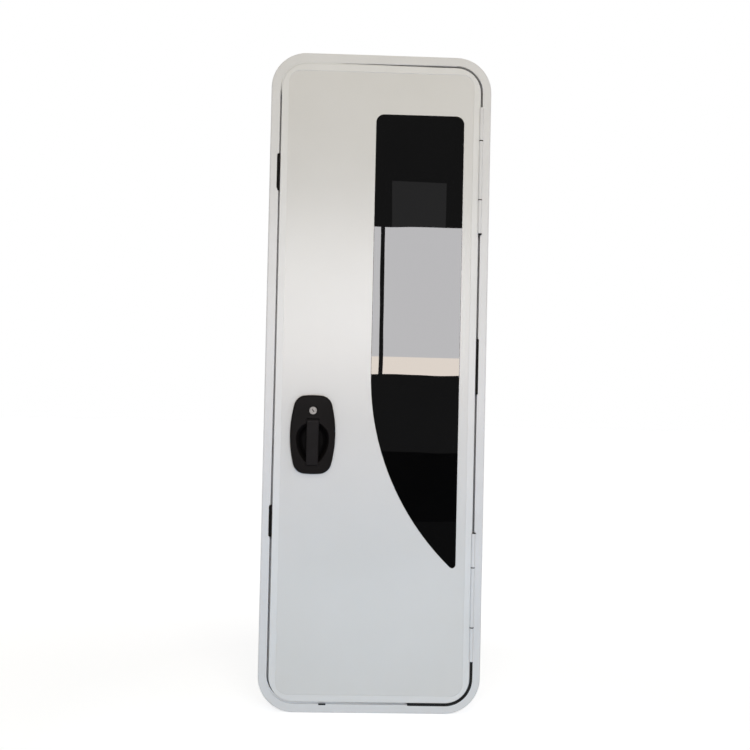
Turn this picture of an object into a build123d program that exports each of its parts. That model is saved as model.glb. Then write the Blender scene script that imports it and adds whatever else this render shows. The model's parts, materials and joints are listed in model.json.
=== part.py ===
"""Caravan entry door: an insulated leaf with a dark window, hung in a bent aluminium frame.

Millimetres. +X is right as seen from outside, +Z is up, and the outside faces -Y.
The origin lies on the back of the frame's flange, where it meets the caravan's wall,
halfway across the flange's bottom strip. A rise is measured up and a drop down from what it
starts at: the leaf's bottom or top edge, the middle of the frame, or the middle of the lock plate.
"""

import os
from math import radians, sqrt, tan

from build123d import *

# Frame section
frame_width = 622
frame_height = 1850
frame_corner_radius = 99
flange_width = 24
flange_thickness = 5
flange_edge_radius = 4
jamb_wall = 3
jamb_tail = 13
stop_width = 18
stop_thickness = 3
gap = 6

# Seals and pads of the frame
seal_height = 5
seal_width = 9
seal_inset = 5
seal_clearance = 0.3
strip_width = 3
strip_proud = 1
strip_depth = 5
strip_run = 179.7
strip_clearance = 1
left_pad_width = 3.8
right_pad_width = 3
right_pad_reach = 1
pad_proud = 0.5
pad_chamfer = 3.5
upper_left_pad_drop = 309
upper_left_pad_length = 104
lower_left_pad_rise = 501.5
lower_left_pad_length = 89
right_pad_rise = 49.5
right_pad_length = 157
sill_pad_inset = 156.3
sill_pad_length = 20
sill_pad_width = 3.5
sill_pad_rise = 1

# Screws that hold the frame in the wall
screw_hole_radius = 2.25
screw_end_margin = 121
end_screw_spacing = 300

# Leaf
leaf_thickness = 30
trim_web = 2.5
trim_leg = 2
trim_face = 19
trim_inner_radius = 34
trim_edge_radius = 1.5
skin_thickness = 1.5
panel_clearance = 0.3
core_board_margin = 80

# Window
window_width = 249.2
window_right_margin = 45.4
window_top_margin = 137.5
window_arc_rise = 920.2
window_arc_radius = 744
window_corner_radius = 23
window_tip_radius = 10
pane_thickness = 5
pane_proud = 1
pane_edge = 0.6
pane_clearance = 0.3
gasket_thickness = 1.5
ledge_width = 16
reveal_wall = 2
reveal_flange = 18
reveal_flange_thickness = 2.5

# Hinges
upper_hinge_drop = 289.5
lower_hinge_rise = 296.7
hinge_axis_proud = 3
barrel_radius = 5
barrel_clearance = 1
pin_radius = 2.5
pin_clearance = 0.05
pin_cap = 2.5
middle_knuckle = 165
end_knuckle = 91
washer_thickness = 2.5
washer_clearance = 0.1
hinge_plate = 1.5
hinge_plate_depth = 20
hinge_plate_start = 4

# Lock outside
lock_backset = 107.7
lock_rise = 744.7
plate_width = 127
plate_height = 221
plate_side_bow = 17
plate_end_bow = 4
plate_corner_radius = 35
plate_thickness = 11
plate_edge_radius = 6
dish_drop = 10.5
dish_width = 93
dish_fall = 74
dish_foot_radius = 29
dish_taper = 20
dish_depth = 30
dish_floor_radius = 12
dish_wall = 2
bar_width = 34
bar_rise = 44
bar_fall = 86
bar_thickness = 8
bar_proud = 2
bar_edge_radius = 2.5
bar_foot_radius = 4
bar_boss_radius = 5
bar_pin_radius = 2
bar_pin_hold = 6
bar_clearance = 1
slot_floor = 2
cylinder_rise = 67.3
cylinder_radius = 11
cylinder_recess = 3
cylinder_recess_depth = 1.5
cylinder_proud = 2.5
cylinder_length = 30
cylinder_clearance = 0.1
plug_radius = 6.5
plug_clearance = 0.05
key_slot_width = 2
key_slot_height = 8
key_slot_depth = 4

# Latch at the leaf's edge, drawn back
case_width = 49
case_height = 110
case_thickness = 15
case_clearance = 0.3
faceplate_thickness = 1.5
faceplate_width = 20
faceplate_height = 130
bolt_thickness = 12
bolt_height = 20
bolt_length = 30
bolt_proud = 1
bolt_clearance = 0.2
strike_thickness = 1.5
strike_width = 20
strike_height = 110
strike_hole_margin = 3

# Lock inside
inside_plate_thickness = 6
inside_plate_chamfer = 2
cutout_clearance = 2
lever_boss_radius = 9
lever_neck = 18
lever_length = 110
lever_width = 20
lever_thickness = 10
lever_chamfer = 2.5

# Places that follow from the sizes above
lip_width = frame_width - 2 * flange_width
lip_height = frame_height - 2 * flange_width
lip_radius = frame_corner_radius - flange_width
leaf_width = lip_width - 2 * gap
leaf_height = lip_height - 2 * gap
leaf_radius = lip_radius - gap
frame_bottom = -(flange_width - jamb_wall) / 2
frame_middle = frame_bottom + frame_height / 2
leaf_bottom = frame_bottom + flange_width + gap
leaf_front = -flange_thickness
leaf_back = leaf_front + leaf_thickness
leaf_middle = (leaf_front + leaf_back) / 2
skin_front = leaf_front + trim_leg
core_front = skin_front + skin_thickness
skin_back = leaf_back - trim_leg
core_back = skin_back - skin_thickness
stop_front = leaf_back + seal_clearance + seal_height
stop_back = stop_front + stop_thickness
jamb_back = stop_back + jamb_tail
panel_width = leaf_width - 2 * (trim_web + panel_clearance)
panel_height = leaf_height - 2 * (trim_web + panel_clearance)
panel_radius = leaf_radius - trim_web - panel_clearance
window_right = leaf_width / 2 - window_right_margin
window_left = window_right - window_width
window_top = leaf_bottom + leaf_height - window_top_margin
window_arc_start = leaf_bottom + window_arc_rise
screw_spacing = lip_height - 2 * screw_end_margin
lock_x = lock_backset - leaf_width / 2
hinge_x = lip_width / 2 - gap / 2
hinge_y = leaf_front - hinge_axis_proud
barrel_length = middle_knuckle + 2 * (washer_thickness + washer_clearance + end_knuckle)
hinge_length = barrel_length + 2 * pin_cap
hinge_heights = {
    "upper": leaf_bottom + leaf_height - upper_hinge_drop,
    "lower": leaf_bottom + lower_hinge_rise,
}
strip_top = hinge_heights["lower"] - hinge_length / 2 - strip_clearance
left_pads = {
    "upper_left_pad": (leaf_bottom + leaf_height - upper_left_pad_drop, upper_left_pad_length),
    "lower_left_pad": (leaf_bottom + lower_left_pad_rise, lower_left_pad_length),
}
left_pad_x = -(lip_width + left_pad_width) / 2
right_pad_x = (lip_width + right_pad_width) / 2 - right_pad_reach
right_pad_z = frame_middle + right_pad_rise
sill_pad_x = sill_pad_inset - lip_width / 2
sill_pad_z = leaf_bottom - gap + sill_pad_rise - sill_pad_width / 2
pane_front = skin_front - pane_proud
pane_back = pane_front + pane_thickness
gasket_back = pane_back + gasket_thickness
plate_front = skin_front - plate_thickness
plate_z = leaf_bottom + lock_rise
dish_z = plate_z - dish_drop
dish_back = plate_front + dish_depth
shell_front = skin_front - dish_wall
shell_wall = dish_wall - (shell_front - plate_front) * tan(radians(dish_taper))
bar_top = plate_z + bar_rise
bar_bottom = plate_z - bar_fall
bar_back = plate_front - bar_proud + bar_thickness
bar_pivot_y = bar_back
bar_pivot_z = bar_top - bar_thickness
slot_width = bar_width + 2 * bar_clearance
slot_top = bar_top + bar_clearance
slot_bottom = bar_bottom - bar_clearance
slot_back = bar_pivot_y + bar_boss_radius + bar_clearance
cylinder_z = plate_z + cylinder_rise
cutout_width = dish_width + 2 * (dish_wall + cutout_clearance)
cutout_top = cylinder_z + cylinder_radius + cutout_clearance
cutout_bottom = dish_z - dish_fall - dish_wall - cutout_clearance
cutout_height = cutout_top - cutout_bottom
cutout_z = (cutout_top + cutout_bottom) / 2
web_inside_x = -leaf_width / 2 + trim_web

os.makedirs("parts", exist_ok=True)


def facing(depth):
    """Plane at a depth behind the wall's face; its sketches read as seen from outside."""
    return Plane.XZ.offset(-depth)


def finish(piece, name):
    """Label a finished piece and write it."""
    piece.part.label = name
    export_step(piece.part, f"parts/{name}.step")


def rounded(width, height, radius, mode=Mode.ADD):
    """Rounded rectangle about the door's middle, in the sketch that is open."""
    with Locations((0, frame_middle)):
        RectangleRounded(width, height, radius, mode=mode)


def window_tip(inset):
    """Height at which the window's arc, drawn in by an inset, meets its right side."""
    radius = window_arc_radius - inset
    return window_arc_start - sqrt(radius**2 - (radius - window_width + 2 * inset) ** 2)


def window_outline(inset, corner_radius, tip_radius):
    """The window's outline, drawn in by an inset: upright sides and one arc across the foot."""
    left = window_left + inset
    right = window_right - inset
    top = window_top - inset
    tip = window_tip(inset)
    with BuildSketch() as outline:
        with BuildLine():
            Polyline((left, window_arc_start), (left, top), (right, top), (right, tip))
            TangentArc((left, window_arc_start), (right, tip), tangent=(0, -1))
        make_face()
        fillet(outline.vertices().group_by(Axis.Y)[-1], corner_radius)
        fillet(outline.vertices().sort_by(Axis.Y)[0], tip_radius)
    return outline.sketch


def bowed_outline(width, height, side_bow, end_bow, corner_radius):
    """Outline with bowed sides and ends and round corners, as the lock's plate and dish have."""
    half_end = width / 2 - side_bow
    half_side = height / 2 - end_bow
    with BuildSketch() as outline:
        with BuildLine():
            ThreePointArc((-half_end, half_side), (0, height / 2), (half_end, half_side))
            ThreePointArc((half_end, half_side), (width / 2, 0), (half_end, -half_side))
            ThreePointArc((half_end, -half_side), (0, -height / 2), (-half_end, -half_side))
            ThreePointArc((-half_end, -half_side), (-width / 2, 0), (-half_end, half_side))
        make_face()
        fillet(outline.vertices(), corner_radius)
    return outline.sketch


def dish_outline(wall):
    """Egg-shaped mouth of the finger dish, grown by a wall: a half circle, two flat arcs, a round foot."""
    half_width = dish_width / 2 + wall
    foot_radius = dish_foot_radius + wall
    foot_z = dish_foot_radius - dish_fall
    side_radius = (half_width**2 + foot_z**2 - foot_radius**2) / (2 * (half_width - foot_radius))
    meet_x = (side_radius - half_width) * foot_radius / (side_radius - foot_radius)
    meet_z = foot_z * side_radius / (side_radius - foot_radius)
    with BuildSketch() as outline:
        with BuildLine():
            CenterArc((0, 0), half_width, 0, 180)
            TangentArc((-half_width, 0), (-meet_x, meet_z), tangent=(0, -1))
            ThreePointArc((-meet_x, meet_z), (0, foot_z - foot_radius), (meet_x, meet_z))
            TangentArc((half_width, 0), (meet_x, meet_z), tangent=(0, -1))
        make_face()
    return outline.sketch


def corner_strip_outline():
    """Band along the lip, round the lower corner on the hinge side, in the sketch that is open."""
    let_in = strip_width - strip_proud
    rounded(lip_width + 2 * let_in, lip_height + 2 * let_in, lip_radius + let_in)
    rounded(
        lip_width - 2 * strip_proud, lip_height - 2 * strip_proud, lip_radius - strip_proud, Mode.SUBTRACT
    )
    with Locations((lip_width / 2 - strip_run, strip_top)):
        Rectangle(frame_width, frame_width, align=(Align.MIN, Align.MAX), mode=Mode.INTERSECT)


pane_shape = window_outline(0, window_corner_radius, window_tip_radius)
pane_hole_shape = window_outline(
    -pane_clearance, window_corner_radius + pane_clearance, window_tip_radius + pane_clearance
)
aperture_shape = window_outline(ledge_width, window_corner_radius, window_tip_radius)
reveal_shape = window_outline(
    ledge_width + reveal_wall, window_corner_radius - reveal_wall, window_tip_radius - reveal_wall
)
reveal_flange_shape = window_outline(
    ledge_width + reveal_wall - reveal_flange, window_corner_radius, window_tip_radius
)
plate_shape = bowed_outline(
    plate_width, plate_height, plate_side_bow, plate_end_bow, plate_corner_radius
)

# Frame: flange, jamb and stop in one bent section
with BuildPart() as outer_frame:
    with BuildSketch(facing(0)):
        rounded(frame_width, frame_height, frame_corner_radius)
        rounded(lip_width, lip_height, lip_radius, Mode.SUBTRACT)
    extrude(amount=flange_thickness)
    flange_front = outer_frame.faces().sort_by(Axis.Y)[0]
    fillet(flange_front.outer_wire().edges(), flange_edge_radius)
    with BuildSketch(facing(jamb_back)):
        rounded(lip_width + 2 * jamb_wall, lip_height + 2 * jamb_wall, lip_radius + jamb_wall)
        rounded(lip_width, lip_height, lip_radius, Mode.SUBTRACT)
    extrude(amount=jamb_back)
    with BuildSketch(facing(stop_back)):
        rounded(lip_width + jamb_wall, lip_height + jamb_wall, lip_radius + jamb_wall / 2)
        rounded(
            lip_width - 2 * stop_width,
            lip_height - 2 * stop_width,
            lip_radius - stop_width,
            Mode.SUBTRACT,
        )
    extrude(amount=stop_thickness)
    # Room for the hinge barrels
    for height in hinge_heights.values():
        with Locations((hinge_x, hinge_y, height)):
            Cylinder(barrel_radius + barrel_clearance, hinge_length, mode=Mode.SUBTRACT)
    # Notches for the pads
    for height, length in left_pads.values():
        with Locations((left_pad_x, leaf_front / 2, height)):
            Box(left_pad_width, flange_thickness, length, mode=Mode.SUBTRACT)
    with Locations((right_pad_x, leaf_front / 2, right_pad_z)):
        Box(right_pad_width, flange_thickness, right_pad_length, mode=Mode.SUBTRACT)
    with Locations((sill_pad_x, leaf_front / 2, sill_pad_z)):
        Box(sill_pad_length, flange_thickness, sill_pad_width, mode=Mode.SUBTRACT)
    # Rebate for the corner strip
    with BuildSketch(facing(leaf_front + strip_depth)):
        corner_strip_outline()
    extrude(amount=strip_depth, mode=Mode.SUBTRACT)
    # Seat of the strike plate and the way for the bolt
    with Locations((-lip_width / 2, leaf_middle, plate_z)):
        Box(2 * strike_thickness, strike_width, strike_height, mode=Mode.SUBTRACT)
        Box(
            4 * jamb_wall,
            bolt_thickness + 2 * strike_hole_margin,
            bolt_height + 2 * strike_hole_margin,
            mode=Mode.SUBTRACT,
        )
    # Screw holes behind the stop, through both jambs, the head and the sill
    screw_y = stop_back + jamb_tail / 2
    for side in (-1, 1):
        screw_x = side * (lip_width + jamb_wall) / 2
        for spacing in (screw_spacing, screw_spacing / 3):
            for end in (-1, 1):
                with Locations((screw_x, screw_y, frame_middle + end * spacing / 2)):
                    Cylinder(
                        screw_hole_radius, 4 * jamb_wall, rotation=(0, 90, 0), mode=Mode.SUBTRACT
                    )
        screw_z = frame_middle + side * (lip_height + jamb_wall) / 2
        for end in (-1, 1):
            with Locations((end * end_screw_spacing / 2, screw_y, screw_z)):
                Cylinder(screw_hole_radius, 4 * jamb_wall, mode=Mode.SUBTRACT)
finish(outer_frame, "outer_frame")

# Bulb seal on the stop
with BuildPart() as frame_seal:
    with BuildSketch(facing(stop_front)):
        rounded(lip_width - 2 * seal_inset, lip_height - 2 * seal_inset, lip_radius - seal_inset)
        rounded(
            lip_width - 2 * (seal_inset + seal_width),
            lip_height - 2 * (seal_inset + seal_width),
            lip_radius - seal_inset - seal_width,
            Mode.SUBTRACT,
        )
    extrude(amount=seal_height)
    chamfer(frame_seal.faces().sort_by(Axis.Y)[0].edges(), seal_width / 3)
finish(frame_seal, "frame_seal")

# Rubber strip round the lower corner on the hinge side
with BuildPart() as corner_seal_strip:
    with BuildSketch(facing(leaf_front + strip_depth)):
        corner_strip_outline()
    extrude(amount=strip_depth)
finish(corner_seal_strip, "corner_seal_strip")

# Pads in the lip
pad_depth = flange_thickness + pad_proud
for name, (height, length) in left_pads.items():
    with BuildPart() as pad:
        with Locations((left_pad_x, -pad_depth / 2, height)):
            Box(left_pad_width, pad_depth, length)
        front_edges = pad.faces().sort_by(Axis.Y)[0].edges().filter_by(Axis.X)
        chamfer(front_edges.sort_by(Axis.Z)[0], pad_chamfer)
    finish(pad, name)

with BuildPart() as right_pad:
    with Locations((right_pad_x, -pad_depth / 2, right_pad_z)):
        Box(right_pad_width, pad_depth, right_pad_length)
finish(right_pad, "right_pad")

with BuildPart() as sill_pad:
    with Locations((sill_pad_x, -pad_depth / 2, sill_pad_z)):
        Box(sill_pad_length, pad_depth, sill_pad_width)
finish(sill_pad, "sill_pad")

# Strike plate, flush in the left jamb
with BuildPart() as strike_plate:
    with Locations((-(lip_width + strike_thickness) / 2, leaf_middle, plate_z)):
        Box(strike_thickness, strike_width, strike_height)
        Box(
            strike_thickness,
            bolt_thickness + 2 * strike_hole_margin,
            bolt_height + 2 * strike_hole_margin,
            mode=Mode.SUBTRACT,
        )
finish(strike_plate, "strike_plate")

# Hinges: the frame carries both end knuckles, the leaf carries the middle one
end_knuckle_offset = (middle_knuckle + end_knuckle) / 2 + washer_thickness + washer_clearance
washer_offset = (middle_knuckle + washer_thickness) / 2 + washer_clearance
plate_web_start = hinge_y + pin_radius + pin_clearance
plate_start = hinge_y + barrel_radius + hinge_plate_start
frame_plate_x = (lip_width - hinge_plate) / 2
leaf_plate_x = (leaf_width + hinge_plate) / 2
for place, hinge_z in hinge_heights.items():
    with BuildPart() as frame_side:
        with Locations((frame_plate_x, plate_start, hinge_z)):
            Box(
                hinge_plate,
                hinge_plate_depth,
                barrel_length,
                align=(Align.CENTER, Align.MIN, Align.CENTER),
            )
        for side in (-1, 1):
            with Locations((hinge_x, hinge_y, hinge_z + side * end_knuckle_offset)):
                Cylinder(barrel_radius, end_knuckle)
            with Locations((frame_plate_x, plate_web_start, hinge_z + side * end_knuckle_offset)):
                Box(
                    hinge_plate,
                    plate_start - plate_web_start + hinge_plate,
                    end_knuckle,
                    align=(Align.CENTER, Align.MIN, Align.CENTER),
                )
        with Locations((hinge_x, hinge_y, hinge_z)):
            Cylinder(pin_radius + pin_clearance, barrel_length, mode=Mode.SUBTRACT)
    finish(frame_side, f"{place}_hinge_frame_side")

    with BuildPart() as leaf_side:
        with Locations((leaf_plate_x, plate_start, hinge_z)):
            Box(
                hinge_plate,
                hinge_plate_depth,
                barrel_length,
                align=(Align.CENTER, Align.MIN, Align.CENTER),
            )
        with Locations((hinge_x, hinge_y, hinge_z)):
            Cylinder(barrel_radius, middle_knuckle)
        with Locations((leaf_plate_x, plate_web_start, hinge_z)):
            Box(
                hinge_plate,
                plate_start - plate_web_start + hinge_plate,
                middle_knuckle,
                align=(Align.CENTER, Align.MIN, Align.CENTER),
            )
        with Locations((hinge_x, hinge_y, hinge_z)):
            Cylinder(pin_radius + pin_clearance, barrel_length, mode=Mode.SUBTRACT)
    finish(leaf_side, f"{place}_hinge_leaf_side")

    with BuildPart() as hinge_pin:
        with Locations((hinge_x, hinge_y, hinge_z)):
            Cylinder(pin_radius, hinge_length)
        for side in (-1, 1):
            with Locations((hinge_x, hinge_y, hinge_z + side * (barrel_length + pin_cap) / 2)):
                Cylinder(barrel_radius, pin_cap)
        caps = hinge_pin.edges().filter_by(GeomType.CIRCLE).sort_by(Axis.Z)
        chamfer([caps[0], caps[-1]], pin_cap / 3)
    finish(hinge_pin, f"{place}_hinge_pin")

    with BuildPart() as washers:
        for side in (-1, 1):
            with Locations((hinge_x, hinge_y, hinge_z + side * washer_offset)):
                Cylinder(barrel_radius, washer_thickness)
                Cylinder(pin_radius + pin_clearance, washer_thickness, mode=Mode.SUBTRACT)
    finish(washers, f"{place}_hinge_washers")

# Leaf edge: a channel all round that holds both skins and the core
with BuildPart() as leaf_edge_trim:
    with BuildSketch(facing(leaf_back)):
        rounded(leaf_width, leaf_height, leaf_radius)
        rounded(
            leaf_width - 2 * trim_web, leaf_height - 2 * trim_web, leaf_radius - trim_web, Mode.SUBTRACT
        )
    extrude(amount=leaf_thickness)
    for depth in (leaf_front + trim_leg, leaf_back):
        with BuildSketch(facing(depth)):
            rounded(leaf_width - trim_web, leaf_height - trim_web, leaf_radius - trim_web / 2)
            rounded(
                leaf_width - 2 * trim_face,
                leaf_height - 2 * trim_face,
                trim_inner_radius,
                Mode.SUBTRACT,
            )
        extrude(amount=trim_leg)
    front_face = leaf_edge_trim.faces().sort_by(Axis.Y)[0]
    fillet(front_face.outer_wire().edges(), trim_edge_radius)
    for height in hinge_heights.values():
        with Locations((hinge_x, hinge_y, height)):
            Cylinder(barrel_radius + barrel_clearance, hinge_length, mode=Mode.SUBTRACT)
    with Locations((-leaf_width / 2, leaf_middle, plate_z)):
        Box(2 * faceplate_thickness, faceplate_width, faceplate_height, mode=Mode.SUBTRACT)
        Box(
            4 * trim_web,
            bolt_thickness + 2 * bolt_clearance,
            bolt_height + 2 * bolt_clearance,
            mode=Mode.SUBTRACT,
        )
finish(leaf_edge_trim, "leaf_edge_trim")

with BuildPart() as outer_skin:
    with BuildSketch(facing(core_front)):
        rounded(panel_width, panel_height, panel_radius)
        add(pane_hole_shape, mode=Mode.SUBTRACT)
        with Locations((lock_x, cutout_z)):
            RectangleRounded(cutout_width, cutout_height, plate_corner_radius, mode=Mode.SUBTRACT)
    extrude(amount=skin_thickness)
finish(outer_skin, "outer_skin")

# Core: foam boards butted together round the window; the lock and its case are let into one of them
panel_side = panel_width / 2
panel_top = frame_middle + panel_height / 2
panel_bottom = frame_middle - panel_height / 2
aperture_right = window_right - ledge_width
aperture_tip = window_tip(ledge_width)
head_joint = window_top - ledge_width - window_corner_radius
lock_top_joint = cutout_top + core_board_margin
lock_bottom_joint = cutout_bottom - core_board_margin
core_boards = {
    "core_head_board": (-panel_side, panel_side, head_joint, panel_top),
    "core_lock_side_board": (-panel_side, aperture_right, lock_top_joint, head_joint),
    "core_hinge_side_board": (aperture_right, panel_side, aperture_tip, head_joint),
    "core_lock_board": (-panel_side, aperture_right, lock_bottom_joint, lock_top_joint),
    "core_knee_board": (-panel_side, aperture_right, aperture_tip, lock_bottom_joint),
    "core_foot_board": (-panel_side, panel_side, panel_bottom, aperture_tip),
}
for name, (left, right, bottom, top) in core_boards.items():
    with BuildPart() as board:
        with BuildSketch(facing(core_back)):
            rounded(panel_width, panel_height, panel_radius)
            with Locations(((left + right) / 2, (bottom + top) / 2)):
                Rectangle(right - left, top - bottom, mode=Mode.INTERSECT)
            add(aperture_shape, mode=Mode.SUBTRACT)
            with Locations((lock_x, cutout_z)):
                RectangleRounded(cutout_width, cutout_height, plate_corner_radius, mode=Mode.SUBTRACT)
        extrude(amount=core_back - core_front)
        with BuildSketch(facing(gasket_back)):
            add(pane_hole_shape)
        extrude(amount=gasket_back - core_front, mode=Mode.SUBTRACT)
        with Locations((web_inside_x, leaf_middle, plate_z)):
            Box(
                case_width + case_clearance,
                case_thickness + 2 * case_clearance,
                case_height + 2 * case_clearance,
                align=(Align.MIN, Align.CENTER, Align.CENTER),
                mode=Mode.SUBTRACT,
            )
    finish(board, name)

with BuildPart() as inner_skin:
    with BuildSketch(facing(skin_back)):
        rounded(panel_width, panel_height, panel_radius)
        add(aperture_shape, mode=Mode.SUBTRACT)
        with Locations((lock_x, cutout_z)):
            RectangleRounded(cutout_width, cutout_height, plate_corner_radius, mode=Mode.SUBTRACT)
    extrude(amount=skin_thickness)
finish(inner_skin, "inner_skin")

# Window: one dark pane bonded on a ledge, with a trim ring that lines the reveal inside
with BuildPart() as window_pane:
    with BuildSketch(facing(pane_back)):
        add(pane_shape)
    extrude(amount=pane_thickness)
    chamfer(window_pane.faces().sort_by(Axis.Y)[0].edges(), pane_edge)
finish(window_pane, "window_pane")

with BuildPart() as window_gasket:
    with BuildSketch(facing(gasket_back)):
        add(pane_shape)
        add(reveal_shape, mode=Mode.SUBTRACT)
    extrude(amount=gasket_thickness)
finish(window_gasket, "window_gasket")

with BuildPart() as window_inner_trim:
    with BuildSketch(facing(skin_back)):
        add(aperture_shape)
        add(reveal_shape, mode=Mode.SUBTRACT)
    extrude(amount=skin_back - gasket_back)
    with BuildSketch(facing(skin_back + reveal_flange_thickness)):
        add(reveal_flange_shape)
        add(reveal_shape, mode=Mode.SUBTRACT)
    extrude(amount=reveal_flange_thickness)
    flange_back = window_inner_trim.faces().sort_by(Axis.Y)[-1]
    chamfer(flange_back.outer_wire().edges(), reveal_flange_thickness / 2)
finish(window_inner_trim, "window_inner_trim")

# Lock plate: one moulding with a finger dish and a slot for the top of the pull
with BuildPart() as lock_escutcheon:
    with BuildSketch(facing(skin_front)):
        with Locations((lock_x, plate_z)):
            add(plate_shape)
    extrude(amount=plate_thickness)
    plate_face = lock_escutcheon.faces().sort_by(Axis.Y)[0]
    fillet(plate_face.outer_wire().edges(), plate_edge_radius)
    # Shell of the dish, behind the plate, and the block behind the slot for the pull
    with BuildSketch(facing(shell_front)):
        with Locations((lock_x, dish_z)):
            add(dish_outline(shell_wall))
    extrude(amount=shell_front - dish_back - dish_wall, taper=dish_taper)
    with Locations((lock_x, skin_front, slot_top + dish_wall)):
        Box(
            slot_width + 2 * dish_wall,
            slot_back + slot_floor - skin_front,
            slot_top + dish_wall - dish_z,
            align=(Align.CENTER, Align.MIN, Align.MAX),
        )
    # Hollow of the dish
    with BuildSketch(facing(plate_front)):
        with Locations((lock_x, dish_z)):
            add(dish_outline(0))
    extrude(amount=-dish_depth, taper=dish_taper, mode=Mode.SUBTRACT)
    dish_floor = lock_escutcheon.faces().sort_by_distance((lock_x, dish_back, dish_z))[0]
    fillet(dish_floor.edges(), dish_floor_radius)
    # Slot for the top of the pull, and the landing for its lower end
    with Locations((lock_x, plate_front, slot_top)):
        Box(
            slot_width,
            slot_back - plate_front,
            slot_top - dish_z,
            align=(Align.CENTER, Align.MIN, Align.MAX),
            mode=Mode.SUBTRACT,
        )
    with Locations((lock_x, plate_front, slot_bottom)):
        Box(
            slot_width,
            bar_back + bar_clearance - plate_front,
            dish_z - slot_bottom,
            align=(Align.CENTER, Align.MIN, Align.MIN),
            mode=Mode.SUBTRACT,
        )
    with Locations((lock_x, bar_pivot_y, bar_pivot_z)):
        Cylinder(
            bar_pin_radius,
            slot_width + 2 * bar_pin_hold,
            rotation=(0, 90, 0),
            mode=Mode.SUBTRACT,
        )
    # Bore of the key cylinder, in a shallow ring
    with BuildSketch(facing(plate_front)):
        with Locations((lock_x, cylinder_z)):
            Circle(cylinder_radius + cylinder_recess)
    extrude(amount=-cylinder_recess_depth, mode=Mode.SUBTRACT)
    with BuildSketch(facing(plate_front)):
        with Locations((lock_x, cylinder_z)):
            Circle(cylinder_radius + cylinder_clearance)
    extrude(amount=-plate_thickness, mode=Mode.SUBTRACT)
finish(lock_escutcheon, "lock_escutcheon")

with BuildPart() as handle_pivot_pin:
    with Locations((lock_x, bar_pivot_y, bar_pivot_z)):
        Cylinder(bar_pin_radius, slot_width + 2 * bar_pin_hold, rotation=(0, 90, 0))
finish(handle_pivot_pin, "handle_pivot_pin")

with BuildPart() as pull_bar:
    with BuildSketch(Plane.YZ.offset(lock_x - bar_width / 2)) as bar_profile:
        with Locations((bar_pivot_y, bar_pivot_z)):
            Circle(bar_thickness)
            Rectangle(bar_thickness, 2 * bar_thickness, align=(Align.MIN, Align.CENTER), mode=Mode.SUBTRACT)
            Rectangle(bar_thickness, bar_pivot_z - bar_bottom, align=(Align.MAX, Align.MAX))
            Circle(bar_boss_radius)
        fillet(bar_profile.vertices().group_by(Axis.Y)[0].sort_by(Axis.X)[0], bar_foot_radius)
    extrude(amount=bar_width)
    bar_front = pull_bar.faces().filter_by(Axis.Y).sort_by(Axis.Y)[0]
    fillet(bar_front.edges().filter_by(Axis.Z), bar_edge_radius)
    with Locations((lock_x, bar_pivot_y, bar_pivot_z)):
        Cylinder(
            bar_pin_radius + pin_clearance, bar_width, rotation=(0, 90, 0), mode=Mode.SUBTRACT
        )
finish(pull_bar, "pull_bar")

# Key cylinder: a fixed housing and the plug that the key turns
with BuildPart() as cylinder_housing:
    with BuildSketch(facing(plate_front - cylinder_proud + cylinder_length)):
        with Locations((lock_x, cylinder_z)):
            Circle(cylinder_radius)
            Circle(plug_radius + plug_clearance, mode=Mode.SUBTRACT)
    extrude(amount=cylinder_length)
    housing_face = cylinder_housing.faces().sort_by(Axis.Y)[0]
    chamfer(housing_face.outer_wire().edges(), cylinder_proud / 2)
finish(cylinder_housing, "cylinder_housing")

with BuildPart() as key_plug:
    with BuildSketch(facing(plate_front - cylinder_proud + cylinder_length)):
        with Locations((lock_x, cylinder_z)):
            Circle(plug_radius)
    extrude(amount=cylinder_length)
    with Locations((lock_x, plate_front - cylinder_proud, cylinder_z)):
        Box(key_slot_width, 2 * key_slot_depth, key_slot_height, mode=Mode.SUBTRACT)
finish(key_plug, "key_plug")

# Latch: case in the core, faceplate flush in the edge, bolt drawn back
with BuildPart() as lock_case:
    with Locations((web_inside_x, leaf_middle, plate_z)):
        Box(
            case_width,
            case_thickness,
            case_height,
            align=(Align.MIN, Align.CENTER, Align.CENTER),
        )
        Box(
            2 * bolt_length,
            bolt_thickness + 2 * bolt_clearance,
            bolt_height + 2 * bolt_clearance,
            mode=Mode.SUBTRACT,
        )
finish(lock_case, "lock_case")

with BuildPart() as latch_faceplate:
    with Locations(((faceplate_thickness - leaf_width) / 2, leaf_middle, plate_z)):
        Box(faceplate_thickness, faceplate_width, faceplate_height)
        Box(
            faceplate_thickness,
            bolt_thickness + 2 * bolt_clearance,
            bolt_height + 2 * bolt_clearance,
            mode=Mode.SUBTRACT,
        )
finish(latch_faceplate, "latch_faceplate")

with BuildPart() as latch_bolt:
    with Locations((-leaf_width / 2 - bolt_proud, leaf_middle, plate_z)):
        Box(
            bolt_length,
            bolt_thickness,
            bolt_height,
            align=(Align.MIN, Align.CENTER, Align.CENTER),
        )
finish(latch_bolt, "latch_bolt")

# Inside: a plain plate of the same outline and a lever
with BuildPart() as inside_escutcheon:
    with BuildSketch(facing(skin_back + inside_plate_thickness)):
        with Locations((lock_x, plate_z)):
            add(plate_shape)
    extrude(amount=inside_plate_thickness)
    inside_face = inside_escutcheon.faces().sort_by(Axis.Y)[-1]
    chamfer(inside_face.outer_wire().edges(), inside_plate_chamfer)
finish(inside_escutcheon, "inside_escutcheon")

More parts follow.
